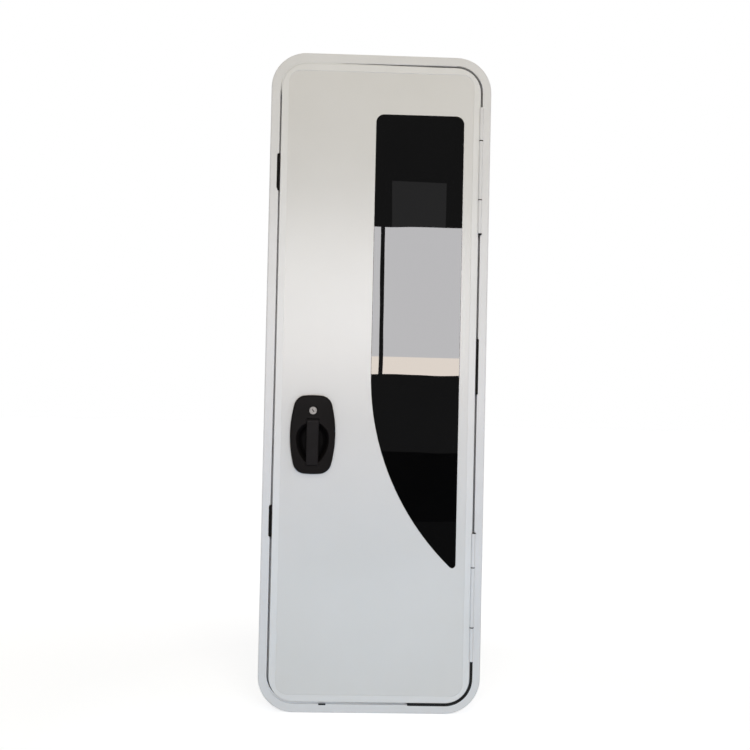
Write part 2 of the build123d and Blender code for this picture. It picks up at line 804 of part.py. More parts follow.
with BuildPart() as inside_lever:
    lever_start = skin_back + inside_plate_thickness
    with BuildSketch(facing(lever_start + lever_neck)):
        with Locations((lock_x, plate_z)):
            Circle(lever_boss_radius)
    extrude(amount=lever_neck)
    with BuildSketch(facing(lever_start + lever_neck + lever_thickness)):
        with Locations((lock_x + (lever_length - lever_width) / 2, plate_z)):
            SlotOverall(lever_length, lever_width)
    extrude(amount=lever_thickness)
    lever_face = inside_lever.faces().sort_by(Axis.Y)[-1]
    chamfer(lever_face.edges(), lever_chamfer)
finish(inside_lever, "inside_lever")
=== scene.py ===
"""Looks of the caravan entry door: finishes, seals, hinge and lock details, screws, studio and camera."""

import json
import math

import bmesh
import bpy
from mathutils import Matrix, Vector


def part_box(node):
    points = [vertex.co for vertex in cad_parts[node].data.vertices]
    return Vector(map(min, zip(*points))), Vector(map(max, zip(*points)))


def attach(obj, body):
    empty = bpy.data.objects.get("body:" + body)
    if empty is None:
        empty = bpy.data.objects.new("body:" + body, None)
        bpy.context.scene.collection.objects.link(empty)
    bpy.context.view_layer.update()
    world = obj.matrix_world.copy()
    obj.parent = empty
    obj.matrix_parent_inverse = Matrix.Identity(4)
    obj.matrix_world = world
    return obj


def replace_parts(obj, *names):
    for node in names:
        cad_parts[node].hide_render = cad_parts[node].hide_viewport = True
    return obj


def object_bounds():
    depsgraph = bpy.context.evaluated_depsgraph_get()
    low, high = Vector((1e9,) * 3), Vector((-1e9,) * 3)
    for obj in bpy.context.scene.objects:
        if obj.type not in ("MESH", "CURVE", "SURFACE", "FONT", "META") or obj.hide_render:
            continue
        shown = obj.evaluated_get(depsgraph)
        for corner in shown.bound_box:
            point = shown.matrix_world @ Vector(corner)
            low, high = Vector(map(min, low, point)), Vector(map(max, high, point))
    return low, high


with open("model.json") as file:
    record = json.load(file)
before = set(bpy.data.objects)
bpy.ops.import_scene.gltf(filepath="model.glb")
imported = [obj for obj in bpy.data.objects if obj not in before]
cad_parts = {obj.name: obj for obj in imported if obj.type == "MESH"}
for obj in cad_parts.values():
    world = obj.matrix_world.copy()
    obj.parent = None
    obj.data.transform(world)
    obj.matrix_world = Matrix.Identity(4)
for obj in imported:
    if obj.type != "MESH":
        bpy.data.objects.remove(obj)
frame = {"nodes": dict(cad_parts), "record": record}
cad_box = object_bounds()
nodes = frame["nodes"]
mounts = {mount["name"]: mount for mount in frame["record"]["mounts"]}

MILLIMETRE = 0.001

# Values that several pieces share, lengths in metres
LEAF_GAP = 0.006
LIP_RADIUS = 0.075
HINGES = ("upper_hinge", "lower_hinge")
HINGE_PLATE = 0.0015


# Finishes

def add_node(tree, kind, **sockets):
    """Add a node and set or link its sockets; a word's underscores stand for spaces."""
    node = tree.nodes.new(kind)
    for word, value in sockets.items():
        socket = node.inputs[word.replace("_", " ")]
        if isinstance(value, bpy.types.NodeSocket):
            tree.links.new(value, socket)
        else:
            socket.default_value = value
    return node


class Finish:
    """A node material whose patterns read Object coordinates, so sizes are in metres."""

    def __init__(self, name, **sockets):
        self.material = bpy.data.materials.new(name)
        self.material.use_nodes = True
        self.tree = self.material.node_tree
        self.shader = self.tree.nodes["Principled BSDF"]
        self.place = self.add("ShaderNodeTexCoord").outputs["Object"]
        for word, value in sockets.items():
            self.shader.inputs[word.replace("_", " ")].default_value = value

    def add(self, kind, **sockets):
        """Add a node to this material."""
        return add_node(self.tree, kind, **sockets)

    def link(self, output, word):
        """Link an output to one of the shader's sockets."""
        self.tree.links.new(output, self.shader.inputs[word])

    def stretched(self, x, y, z):
        """Object coordinates stretched, for a pattern that runs one way."""
        return self.add("ShaderNodeMapping", Vector=self.place, Scale=(x, y, z)).outputs["Vector"]

    def noise(self, feature, detail, place=None):
        """Noise whose features are about as large as a length in metres."""
        node = self.add("ShaderNodeTexNoise", Vector=place or self.place, Scale=1 / feature, Detail=detail)
        return node.outputs["Fac"]

    def depth(self, front, back):
        """0 at a front y and 1 at a back y, for what changes into the door's thickness."""
        y = self.add("ShaderNodeSeparateXYZ", Vector=self.place).outputs["Y"]
        return self.add("ShaderNodeMapRange", Value=y, From_Min=front, From_Max=back).outputs["Result"]

    def paint(self, pattern, low, high, start=0.3, end=0.7):
        """Colour that follows a pattern between two colours, over part of the pattern's range."""
        ramp = self.add("ShaderNodeValToRGB", Fac=pattern)
        for stop, position, colour in zip(ramp.color_ramp.elements, (start, end), (low, high)):
            stop.position = position
            stop.color = (*colour, 1)
        self.link(ramp.outputs["Color"], "Base Color")

    def shade(self, factor, shaded):
        """Blend what is painted so far into a darker colour where a factor rises, as painted shade."""
        painted = self.shader.inputs["Base Color"].links[0].from_socket
        mix = self.tree.nodes.new("ShaderNodeMix")
        mix.data_type = "RGBA"
        self.tree.links.new(factor, mix.inputs["Factor"])
        self.tree.links.new(painted, mix.inputs["A"])
        mix.inputs["B"].default_value = (*shaded, 1)
        self.link(mix.outputs["Result"], "Base Color")

    def gloss(self, pattern, low, high):
        """Roughness that follows a pattern between two values."""
        roughness = self.add("ShaderNodeMapRange", Value=pattern, To_Min=low, To_Max=high)
        self.link(roughness.outputs["Result"], "Roughness")

    def bump(self, *layers):
        """Stack bumps, each a pattern and its height in metres."""
        normal = None
        for pattern, height in layers:
            node = self.add("ShaderNodeBump", Height=pattern, Distance=height, Strength=1.0)
            if normal is not None:
                self.tree.links.new(normal, node.inputs["Normal"])
            normal = node.outputs["Normal"]
        self.link(normal, "Normal")


def powder_coat(name, soiled, clean):
    """Satin white powder coat on aluminium: fine orange peel and a little soiling."""
    coat = Finish(name, Specular_IOR_Level=0.5)
    coat.paint(coat.noise(0.16, detail=5), soiled, clean)
    coat.gloss(coat.noise(0.05, detail=4), 0.26, 0.36)
    coat.bump((coat.noise(0.0016, detail=2), 0.00002))
    return coat.material


def white_skin_paint():
    """Satin white sheet: long shallow waves of a bonded skin under a smooth coat."""
    sheet = Finish("white_skin_paint", Specular_IOR_Level=0.5)
    sheet.paint(sheet.noise(0.30, detail=4), (0.765, 0.755, 0.74), (0.795, 0.785, 0.775))
    sheet.gloss(sheet.noise(0.12, detail=4), 0.20, 0.24)
    sheet.bump((sheet.noise(0.35, detail=1), 0.0006), (sheet.noise(0.003, detail=2), 0.000012))
    return sheet.material


def dark_pane_acrylic():
    """Polished dark acrylic with the slight waviness of a cast sheet."""
    pane = Finish("dark_pane_acrylic", Specular_IOR_Level=0.95)
    pane.paint(pane.noise(0.2, detail=3), (0.0012, 0.0012, 0.0014), (0.002, 0.002, 0.0022))
    pane.gloss(pane.noise(0.03, detail=4), 0.004, 0.012)
    pane.bump((pane.noise(0.22, detail=1), 0.00025))
    return pane.material


def black_rubber():
    """Matt black rubber, unevenly dull."""
    rubber = Finish("black_rubber", Specular_IOR_Level=0.3)
    rubber.paint(rubber.noise(0.02, detail=5), (0.006, 0.006, 0.007), (0.014, 0.014, 0.015))
    rubber.gloss(rubber.noise(0.01, detail=4), 0.55, 0.75)
    rubber.bump((rubber.noise(0.0012, detail=3), 0.00006))
    return rubber.material


def black_plastic():
    """Black moulding with a fine spark-eroded grain, and painted shade that darkens it down in the finger
    dish.
    """
    shade_start, shade_end = -0.010, 0.012
    moulding = Finish("black_plastic", Specular_IOR_Level=0.04)
    moulding.paint(moulding.noise(0.05, detail=5), (0.0112, 0.0098, 0.0097), (0.0140, 0.0123, 0.0122))
    moulding.gloss(moulding.noise(0.035, detail=4), 0.28, 0.38)
    moulding.bump((moulding.noise(0.0009, detail=3), 0.00003))
    # Painted shade: the colour darkens the deeper a point lies in the door, most down in the finger dish,
    # where little light reaches.
    moulding.shade(moulding.depth(shade_start, shade_end), (0.0042, 0.0036, 0.0038))
    return moulding.material


def worn_black_plastic():
    """Black of the pull and of the inside lever and its plate, rubbed a little lighter by hands."""
    grip = Finish("worn_black_plastic", Specular_IOR_Level=0.06)
    grip.paint(grip.noise(0.04, detail=5), (0.0138, 0.0122, 0.0126), (0.0172, 0.0152, 0.0156))
    grip.gloss(grip.noise(0.025, detail=4), 0.26, 0.38)
    grip.bump((grip.noise(0.0009, detail=3), 0.00003))
    return grip.material


def blackened_steel():
    """Dull blackened steel of the pull's pin."""
    pin = Finish("blackened_steel", Specular_IOR_Level=0.1)
    pin.paint(pin.noise(0.004, detail=4), (0.009, 0.009, 0.010), (0.014, 0.014, 0.015))
    pin.gloss(pin.noise(0.002, detail=3), 0.45, 0.60)
    pin.bump((pin.noise(0.0006, detail=2), 0.00002))
    return pin.material


def grey_trim_plastic():
    """Pale grey moulding with a fine grain."""
    trim = Finish("grey_trim_plastic", Specular_IOR_Level=0.45)
    trim.paint(trim.noise(0.08, detail=4), (0.60, 0.60, 0.59), (0.66, 0.66, 0.65))
    trim.gloss(trim.noise(0.03, detail=4), 0.40, 0.52)
    trim.bump((trim.noise(0.0012, detail=3), 0.00003))
    return trim.material


def zinc_steel():
    """Zinc plate: faint crystalline mottling and drawn lines up and down."""
    steel = Finish("zinc_steel", Metallic=1.0)
    steel.paint(steel.noise(0.006, detail=5), (0.46, 0.46, 0.47), (0.60, 0.60, 0.61))
    steel.gloss(steel.noise(0.004, detail=4), 0.28, 0.44)
    steel.bump((steel.noise(0.0008, detail=2, place=steel.stretched(1, 1, 0.04)), 0.00003))
    return steel.material


def satin_nickel():
    """Satin nickel with faint drawn lines across."""
    nickel = Finish("satin_nickel", Metallic=1.0)
    nickel.paint(nickel.noise(0.004, detail=4), (0.33, 0.315, 0.305), (0.42, 0.405, 0.395))
    nickel.gloss(nickel.noise(0.003, detail=4), 0.40, 0.52)
    nickel.bump((nickel.noise(0.0005, detail=2, place=nickel.stretched(0.08, 1, 1)), 0.00002))
    return nickel.material


def cut_foam():
    """Cut foam with its open cells."""
    cell = 0.003
    foam = Finish("cut_foam", Roughness=0.9, Specular_IOR_Level=0.2)
    cells = foam.add("ShaderNodeTexVoronoi", Vector=foam.place, Scale=1 / cell).outputs["Distance"]
    foam.paint(cells, (0.80, 0.78, 0.68), (0.88, 0.86, 0.78), 0.1, 0.6)
    foam.bump((cells, 0.0006))
    return foam.material


finishes = {
    "white_frame": powder_coat("white_frame_paint", (0.782, 0.777, 0.780), (0.817, 0.812, 0.820)),
    "white_skin": white_skin_paint(),
    "foam": cut_foam(),
    "dark_pane": dark_pane_acrylic(),
    "black_rubber": black_rubber(),
    "black_plastic": black_plastic(),
    "grey_trim": grey_trim_plastic(),
    "steel": zinc_steel(),
    "bright_metal": satin_nickel(),
}
trim_paint = powder_coat("white_trim_paint", (0.812, 0.807, 0.802), (0.847, 0.842, 0.842))
worn_black = worn_black_plastic()
own_finishes = {
    "leaf_edge_trim": trim_paint,
    "pull_bar": worn_black,
    "inside_escutcheon": worn_black,
    "inside_lever": worn_black,
    "handle_pivot_pin": blackened_steel(),
    "upper_hinge_pin": finishes["white_frame"],
    "lower_hinge_pin": finishes["white_frame"],
}
for part in frame["record"]["subparts"]:
    node_finish = own_finishes.get(part["node"], finishes[part["material_slot"]])
    nodes[part["node"]].material_slots[0].material = node_finish


# Making pieces

TURN_STEPS = 16
SPIN_STEPS = 32
MERGE_DISTANCE = 0.00001
CREASE_ANGLE = math.radians(35)

leaf_low, leaf_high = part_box("leaf_edge_trim")


class LipLine:
    """The frame's lip as seen from outside, or a line inside it: straight sides joined by quarter turns."""

    def __init__(self, inset):
        self.left = leaf_low.x - LEAF_GAP + inset
        self.right = leaf_high.x + LEAF_GAP - inset
        self.low = leaf_low.z - LEAF_GAP + inset
        self.high = leaf_high.z + LEAF_GAP - inset
        self.radius = LIP_RADIUS - inset

    def corner(self, right, top):
        """Centre of a corner's turn."""
        x = self.right - self.radius if right else self.left + self.radius
        z = self.high - self.radius if top else self.low + self.radius
        return Vector((x, 0, z))

    def inward(self, place):
        """How far a place is inside the line, and the direction that leads further in."""
        middle = Vector(((self.left + self.right) / 2, 0, (self.low + self.high) / 2))
        x, z = place.x - middle.x, place.z - middle.z
        over_x = max(abs(x) - (self.right - self.left) / 2 + self.radius, 0)
        over_z = max(abs(z) - (self.high - self.low) / 2 + self.radius, 0)
        outward = Vector((math.copysign(over_x, x), 0, math.copysign(over_z, z)))
        return self.radius - outward.length, -outward.normalized()

    def shares(self, place):
        """How far across and how far up a place lies between the line's sides, from 0 to 1."""
        across = (place.x - self.left) / (self.right - self.left)
        up = (place.z - self.low) / (self.high - self.low)
        return across, up


def between(value, start, end):
    """0 before a start, 1 after an end, and an even rise between them."""
    return min(max((value - start) / (end - start), 0), 1)


def mixed(first, second, share):
    """A value that goes from a first to a second as a share goes from 0 to 1."""
    return first + (second - first) * share


def corners_of(made):
    """The vertices among what an operator made."""
    return [part for part in made if isinstance(part, bmesh.types.BMVert)]


def edges_of(made):
    """The edges among what an operator made."""
    return [part for part in made if isinstance(part, bmesh.types.BMEdge)]


def rim_of(shape):
    """The edges round a shape's openings."""
    return [edge for edge in shape.edges if edge.is_boundary]


def outline(shape, points):
    """Closed loop of edges through points."""
    corners = [shape.verts.new(point) for point in points]
    return [shape.edges.new(pair) for pair in zip(corners, corners[1:] + corners[:1])]


def draw_out(shape, edges, along):
    """Draw a profile's edges along a line, and give back the edges at the far end."""
    made = bmesh.ops.extrude_edge_only(shape, edges=edges)["geom"]
    bmesh.ops.translate(shape, vec=along, verts=corners_of(made))
    return edges_of(made)


def turn_corner(shape, edges, centre):
    """Carry a profile's edges a quarter turn, anticlockwise as seen from outside."""
    corners = list({corner for edge in edges for corner in edge.verts})
    made = bmesh.ops.spin(
        shape, geom=corners + edges, cent=centre, axis=(0, 1, 0), angle=-math.pi / 2, steps=TURN_STEPS
    )
    return edges_of(made["geom_last"])


def dig(shape, faces, depth):
    """Sink faces into a shape along -Z, and give back the vertices of the floor."""
    floor = corners_of(bmesh.ops.extrude_face_region(shape, geom=faces)["geom"])
    bmesh.ops.delete(shape, geom=faces, context="FACES")
    bmesh.ops.translate(shape, vec=(0, 0, -depth), verts=floor)
    return floor


def spread_down(shape, spread, drop):
    """Draw a shape's rim down and outwards."""
    lower = {corner for edge in draw_out(shape, rim_of(shape), (0, 0, -drop)) for corner in edge.verts}
    bmesh.ops.scale(shape, vec=(spread, spread, 1), verts=list(lower))


def close_ends(shape):
    """Close a shape's openings."""
    bmesh.ops.holes_fill(shape, edges=rim_of(shape), sides=0)


def add_object(name, shape, material):
    """Object in the scene, with its place in its mesh and one material."""
    mesh = bpy.data.meshes.new(name)
    shape.to_mesh(mesh)
    shape.free()
    mesh.materials.append(material)
    made = bpy.data.objects.new(name, mesh)
    bpy.context.scene.collection.objects.link(made)
    return made


def make_piece(name, shape, body, slot, finish=None):
    """Merge a shape's seams, point its faces outwards and ride it on a body."""
    bmesh.ops.remove_doubles(shape, verts=shape.verts, dist=MERGE_DISTANCE)
    bmesh.ops.recalc_face_normals(shape, faces=shape.faces)
    for face in shape.faces:
        face.smooth = True
    piece = add_object(name, shape, finish or finishes[slot])
    piece.data.set_sharp_from_angle(angle=CREASE_ANGLE)
    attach(piece, body)
    return piece


def spun(name, body, slot, centre, axis, profile):
    """Ring spun from a profile of radii and places along an axis."""
    shape = bmesh.new()
    axis = Vector(axis)
    outward = Vector((1, 0, 0))
    edges = outline(shape, [centre + outward * radius + axis * along for radius, along in profile])
    bmesh.ops.spin(
        shape,
        geom=shape.verts[:] + edges,
        cent=centre,
        axis=axis,
        angle=math.tau,
        steps=SPIN_STEPS,
        use_merge=True,
    )
    return make_piece(name, shape, body, slot)


# Black seals and pads

def bulb_seal():
    """Rubber bulb on the door stop, all round: a flat foot with a half-round bulb towards the leaf."""
    foot_width, foot_height = 0.009, 0.0012
    bulb_radius, bulb_points = 0.0036, 9
    low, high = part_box("frame_seal")
    line = LipLine(low.x - (leaf_low.x - LEAF_GAP))
    foot_top = high.y - foot_height
    points = [(line.low, high.y), (line.low, foot_top)]
    for step in range(bulb_points):
        swing = math.pi * step / (bulb_points - 1)
        across = line.low + foot_width / 2 - bulb_radius * math.cos(swing)
        points.append((across, foot_top - (foot_top - low.y) * math.sin(swing)))
    points += [(line.low + foot_width, foot_top), (line.low + foot_width, high.y)]
    shape = bmesh.new()
    edges = outline(shape, [(0, y, z) for z, y in points])
    place = Vector((0, 0, line.corner(True, False).z))
    for right, top in ((True, False), (True, True), (False, True), (False, False)):
        corner = line.corner(right, top)
        edges = draw_out(shape, edges, corner - place)
        edges = turn_corner(shape, edges, corner)
        place = corner
    draw_out(shape, edges, (-place.x, 0, 0))
    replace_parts(make_piece("bulb_seal", shape, "frame", "black_rubber"), "frame_seal")


def corner_strip():
    """Black wiper strip let into the lip at the lower right corner, its lip reaching towards the leaf."""
    low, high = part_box("corner_seal_strip")
    line = LipLine(0)
    foot_out, foot_in = line.low - low.z, 0.001
    cap_overhang, cap_height = 0.0003, 0.0005
    cap_out, cap_front = foot_out + cap_overhang, low.y - cap_height
    lip_reach, bevel = 0.0048, 0.0003
    lip_front, lip_tip_front, lip_tip_back, lip_back = -0.0036, -0.0028, -0.0016, -0.0012
    start_slant = 0.7
    profile = [
        (-foot_out, high.y),
        (-foot_out, low.y),
        (-cap_out, low.y),
        (-cap_out, cap_front + bevel),
        (bevel - cap_out, cap_front),
        (foot_in - bevel, cap_front),
        (foot_in, cap_front + bevel),
        (foot_in, lip_front),
        (lip_reach, lip_tip_front),
        (lip_reach, lip_tip_back),
        (foot_in, lip_back),
        (foot_in, high.y),
    ]
    shape = bmesh.new()
    edges = outline(shape, [(low.x, y, line.low + inward) for inward, y in profile])
    start = shape.verts[:]
    corner = line.corner(True, False)
    edges = draw_out(shape, edges, (corner.x - low.x, 0, 0))
    for end in start:
        end.co.x += start_slant * max(line.low - end.co.z, 0)
    edges = turn_corner(shape, edges, corner)
    draw_out(shape, edges, (0, 0, high.z - corner.z))
    close_ends(shape)
    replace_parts(make_piece("corner_strip", shape, "frame", "black_rubber"), "corner_seal_strip")


def lip_pad(node, side, inner, top_cut, bottom_cut):
    """Black pad let into the lip, its outer corners cut, with a soft fin across most of the gap.

    The side is 1 on the left and -1 on the right, and inner is how far the pad itself stands in the gap.
    """
    fin_reach, bevel = 0.0046, 0.0004
    fin_front, fin_tip, fin_back = -0.0044, -0.0038, -0.0018
    line = LipLine(0)
    low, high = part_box(node)
    lip = line.left if side > 0 else line.right
    outer = lip - low.x if side > 0 else high.x - lip
    profile = [
        (-outer, high.y),
        (-outer, low.y + bevel),
        (bevel - outer, low.y),
        (inner - bevel, low.y),
        (inner, low.y + bevel),
        (inner, fin_front),
        (fin_reach, fin_tip),
        (fin_reach, fin_back),
        (inner, fin_back),
        (inner, high.y),
    ]
    shape = bmesh.new()
    edges = outline(shape, [(lip + side * inward, y, low.z) for inward, y in profile])
    draw_out(shape, edges, (0, 0, high.z - low.z))
    close_ends(shape)
    for corner in shape.verts:
        let_in = max(side * (lip - corner.co.x), 0) / outer
        corner.co.z += bottom_cut * let_in if corner.co.z < (low.z + high.z) / 2 else -top_cut * let_in
    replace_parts(make_piece(f"{node}_with_fin", shape, "frame", "black_plastic"), node)


# White lips that narrow the gap, drawn one unit wide and then given their width along the way

LIP_UNIT = 0.001
LIP_RUNS = 12
THIN_LIP = 0.0002
CORNER_LIP = 0.0029
SIDE_THIN, SIDE_WIDE, SIDE_OPEN, SIDE_CLOSED = 0.30, 0.54, 0.945, 0.967
TOP_CLOSED, TOP_OPEN = 0.25, 0.75
PAD_END = 0.002

left_pads = [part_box("upper_left_pad"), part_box("lower_left_pad")]


def run_along(shape, edges, along):
    """Draw a lip's edges along a line in even runs, so that its width can change on the way."""
    for _ in range(LIP_RUNS):
        edges = draw_out(shape, edges, along / LIP_RUNS)
    return edges


def set_width(line, corner, width):
    """Move one corner of a lip's mesh so that the lip has a width there."""
    reach, inward = line.inward(corner.co)
    corner.co += inward * reach * (width / LIP_UNIT - 1)


def fit_white_lip(line, corner):
    """Give the frame's lip its width and its depth at one corner of its mesh."""
    side_width, sill_width, top_right_width = 0.0015, 0.0056, 0.0010
    top_turn, sill_turn = 0.35, 0.85
    slit, swing_out = 0.0002, 0.00096
    sill_sunk, sill_slope, slope_start, slope_end = 0.004, 0.006, 0.05, 0.6
    corner_rise, risen_width = 0.0018, 0.0025
    across, up = line.shares(corner.co)
    _, inward = line.inward(corner.co)
    side = mixed(THIN_LIP, side_width, between(up, SIDE_THIN, SIDE_WIDE))
    side = mixed(side, CORNER_LIP, between(up, SIDE_OPEN, SIDE_CLOSED))
    if any(low.z - PAD_END / 2 < corner.co.z < high.z + PAD_END / 2 for low, high in left_pads):
        side = THIN_LIP
    top = mixed(CORNER_LIP, top_right_width, between(across, TOP_CLOSED, TOP_OPEN))
    end, turn = (sill_width, sill_turn) if inward.z > 0 else (top, top_turn)
    turned = between(abs(inward.z), 0, turn)
    width = min(mixed(side, end, turned), LEAF_GAP - slit - swing_out * abs(inward.x))
    set_width(line, corner, width)
    if inward.z > 0:
        corner.co.y += (sill_sunk + sill_slope * between(across, slope_start, slope_end)) * turned
    else:
        corner.co.y -= corner_rise * between(width, side_width, risen_width)


def white_lip():
    """White wiper on the frame, from the upper right corner round to the black strip at the sill.

    It reaches half across the gap at the upper left corner, is thin down the lock side,
    and lies deep at the sill.
    """
    front, back = -0.0028, -0.0016
    side_stops = (SIDE_OPEN, 0.75, SIDE_WIDE, 0.46, 0.38, SIDE_THIN, 0.18)
    strip_clearance = 0.0005
    line = LipLine(0)
    upper_right, upper_left = line.corner(True, True), line.corner(False, True)
    lower_left = line.corner(False, False)
    strip_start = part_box("corner_seal_strip")[0].x
    profile = [(0, back), (0, front), (LIP_UNIT, front), (LIP_UNIT, back)]
    shape = bmesh.new()
    edges = outline(shape, [(upper_right.x, y, line.high - inward) for inward, y in profile])
    edges = run_along(shape, edges, upper_left - upper_right)
    edges = turn_corner(shape, edges, upper_left)
    stops = [line.low + up * (line.high - line.low) for up in side_stops]
    for low, high in left_pads:
        stops += [high.z + PAD_END, high.z, low.z, low.z - PAD_END]
    stops = sorted([upper_left.z, lower_left.z, *stops], reverse=True)
    for above, below in zip(stops, stops[1:]):
        edges = draw_out(shape, edges, (0, 0, below - above))
    edges = turn_corner(shape, edges, lower_left)
    run_along(shape, edges, Vector((strip_start - strip_clearance - lower_left.x, 0, 0)))
    close_ends(shape)
    for corner in shape.verts:
        fit_white_lip(line, corner)
    make_piece("white_lip", shape, "frame", "white_frame")


def leaf_lip():
    """White lip on the leaf's edge: widest at the upper left corner, thinning away both ways."""
    front, back = -0.0046, -0.0032
    line = LipLine(LEAF_GAP)
    upper_left = line.corner(False, True)
    start = line.left + TOP_OPEN * (line.right - line.left)
    end = line.low + SIDE_OPEN * (line.high - line.low)
    profile = [(0, back), (0, front), (-LIP_UNIT, front), (-LIP_UNIT, back)]
    shape = bmesh.new()
    edges = outline(shape, [(start, y, line.high - inward) for inward, y in profile])
    edges = run_along(shape, edges, Vector((upper_left.x - start, 0, 0)))
    edges = turn_corner(shape, edges, upper_left)
    draw_out(shape, edges, (0, 0, end - upper_left.z))
    close_ends(shape)
    for corner in shape.verts:
        across, up = line.shares(corner.co)
        closed = between(up, SIDE_OPEN, SIDE_CLOSED) * (1 - between(across, TOP_CLOSED, TOP_OPEN))
        set_width(line, corner, mixed(THIN_LIP, CORNER_LIP, closed))
    make_piece("leaf_lip", shape, "leaf", "white_frame", trim_paint)


# Hinge details

def hinge_collars():
    """Dark collars round the washers, just clear of the knuckles above and below."""
    inner, barrel, outer = 0.0032, 0.00508, 0.00562
    washer, collar, bevel = 0.0012, 0.0013, 0.0002
    washer_thickness = 0.0025
    profile = [
        (inner, -washer),
        (barrel, -washer),
        (barrel, -collar),
        (outer - bevel, -collar),
        (outer, bevel - collar),
        (outer, collar - bevel),
        (outer - bevel, collar),
        (barrel, collar),
        (barrel, washer),
        (inner, washer),
    ]
    for hinge in HINGES:
        low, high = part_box(f"{hinge}_washers")
        middle = (low + high) / 2
        heights = {"lower": low.z + washer_thickness / 2, "upper": high.z - washer_thickness / 2}
        for end, height in heights.items():
            centre = Vector((middle.x, middle.y, height))
            ring = spun(f"{hinge}_{end}_collar", "frame", "black_plastic", centre, (0, 0, 1), profile)
            if end == "lower":
                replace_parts(ring, f"{hinge}_washers")


def painted_hinge_shadows():
    """Black hooks at the barrel ends that face each other, in front of the lip: the barrels' shadows,
    painted as dark pieces.
    """
    left, middle, right = -0.0024, 0.0030, 0.0069
    front, back = 0.0040, 0.0001
    flange_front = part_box("outer_frame")[0].y
    for hinge, end, tall in (("upper_hinge", 0, -0.0062), ("lower_hinge", 1, 0.0042)):
        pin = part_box(f"{hinge}_pin")
        axis_x = (pin[0].x + pin[1].x) / 2
        corners = [(left, 0), (right, 0), (right, tall / 2), (middle, tall), (left, tall)]
        shape = bmesh.new()
        points = [(axis_x + across, flange_front - front, pin[end].z + along) for across, along in corners]
        edges = outline(shape, points)
        draw_out(shape, edges, (0, front - back, 0))
        close_ends(shape)
        # Painted shadow: a black hook shaped like the shade at each barrel's end.
        make_piece(f"{hinge}_painted_shadow", shape, "frame", "black_rubber")


# Key cylinder

KEYWAY_WIDTH = 0.0024
KEYWAY_LENGTH = 0.0088
KEYWAY_DEPTH = 0.0038
KEYWAY_SLANT = math.radians(38)
KEY_BEVEL = 0.0004

housing_low, housing_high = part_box("cylinder_housing")
plug_low, plug_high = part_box("key_plug")
key_middle = (housing_low + housing_high) / 2
plug_radius = (plug_high.x - plug_low.x) / 2
plug_face = (
    Matrix.Translation((key_middle.x, plug_low.y, key_middle.z))
    @ Matrix.Rotation(math.pi / 2, 4, "X")
    @ Matrix.Rotation(KEYWAY_SLANT, 4, "Z")
)


def cylinder_ring():
    """Bright ring of the key cylinder."""
    play, outer = 0.0002, 0.0104
    inner = plug_radius + play
    depth = housing_high.y - housing_low.y
    centre = Vector((key_middle.x, housing_low.y, key_middle.z))
    profile = [
        (inner, depth),
        (inner, KEY_BEVEL),
        (inner + KEY_BEVEL, 0),
        (outer - KEY_BEVEL, 0),
        (outer, KEY_BEVEL),
        (outer, depth),
    ]
    ring = spun("cylinder_ring", "leaf", "bright_metal", centre, (0, 1, 0), profile)
    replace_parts(ring, "cylinder_housing")


def slotted_plug():
    """Key plug with a bevelled face and a slanted keyway, made along Z and then set in the ring."""
    face_radius = plug_radius - KEY_BEVEL
    shape = bmesh.new()
    bmesh.ops.create_circle(shape, cap_ends=True, segments=SPIN_STEPS, radius=face_radius)
    for across, half in ((Vector((1, 0, 0)), KEYWAY_WIDTH / 2), (Vector((0, 1, 0)), KEYWAY_LENGTH / 2)):
        for sign in (-1, 1):
            bmesh.ops.bisect_plane(
                shape,
                geom=shape.verts[:] + shape.edges[:] + shape.faces[:],
                dist=MERGE_DISTANCE,
                plane_co=across * half * sign,
                plane_no=across,
            )
    slot_face = [face for face in shape.faces if face.calc_center_median().length < MERGE_DISTANCE]
    dig(shape, slot_face, KEYWAY_DEPTH)
    spread_down(shape, plug_radius / face_radius, KEY_BEVEL)
    spread_down(shape, 1, plug_high.y - plug_low.y - KEY_BEVEL)
    close_ends(shape)
    bmesh.ops.transform(shape, matrix=plug_face, verts=shape.verts)
    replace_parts(make_piece("slotted_plug", shape, "key", "bright_metal"), "key_plug")


def keyway():
    """Black block sunk in the keyway: painted shade that darkens the slot."""
    play, sunk = 0.0001, 0.0008
    size = Vector((KEYWAY_WIDTH - play, KEYWAY_LENGTH - play, KEYWAY_DEPTH - sunk))
    shape = bmesh.new()
    bmesh.ops.create_cube(shape, size=1)
    bmesh.ops.scale(shape, vec=size, verts=shape.verts)
    bmesh.ops.translate(shape, vec=(0, 0, -sunk - size.z / 2), verts=shape.verts)
    bmesh.ops.transform(shape, matrix=plug_face, verts=shape.verts)
    # Painted shade: black plastic stands in for the shade deep in the narrow slot.
    make_piece("keyway", shape, "key", "black_plastic")


# Screws

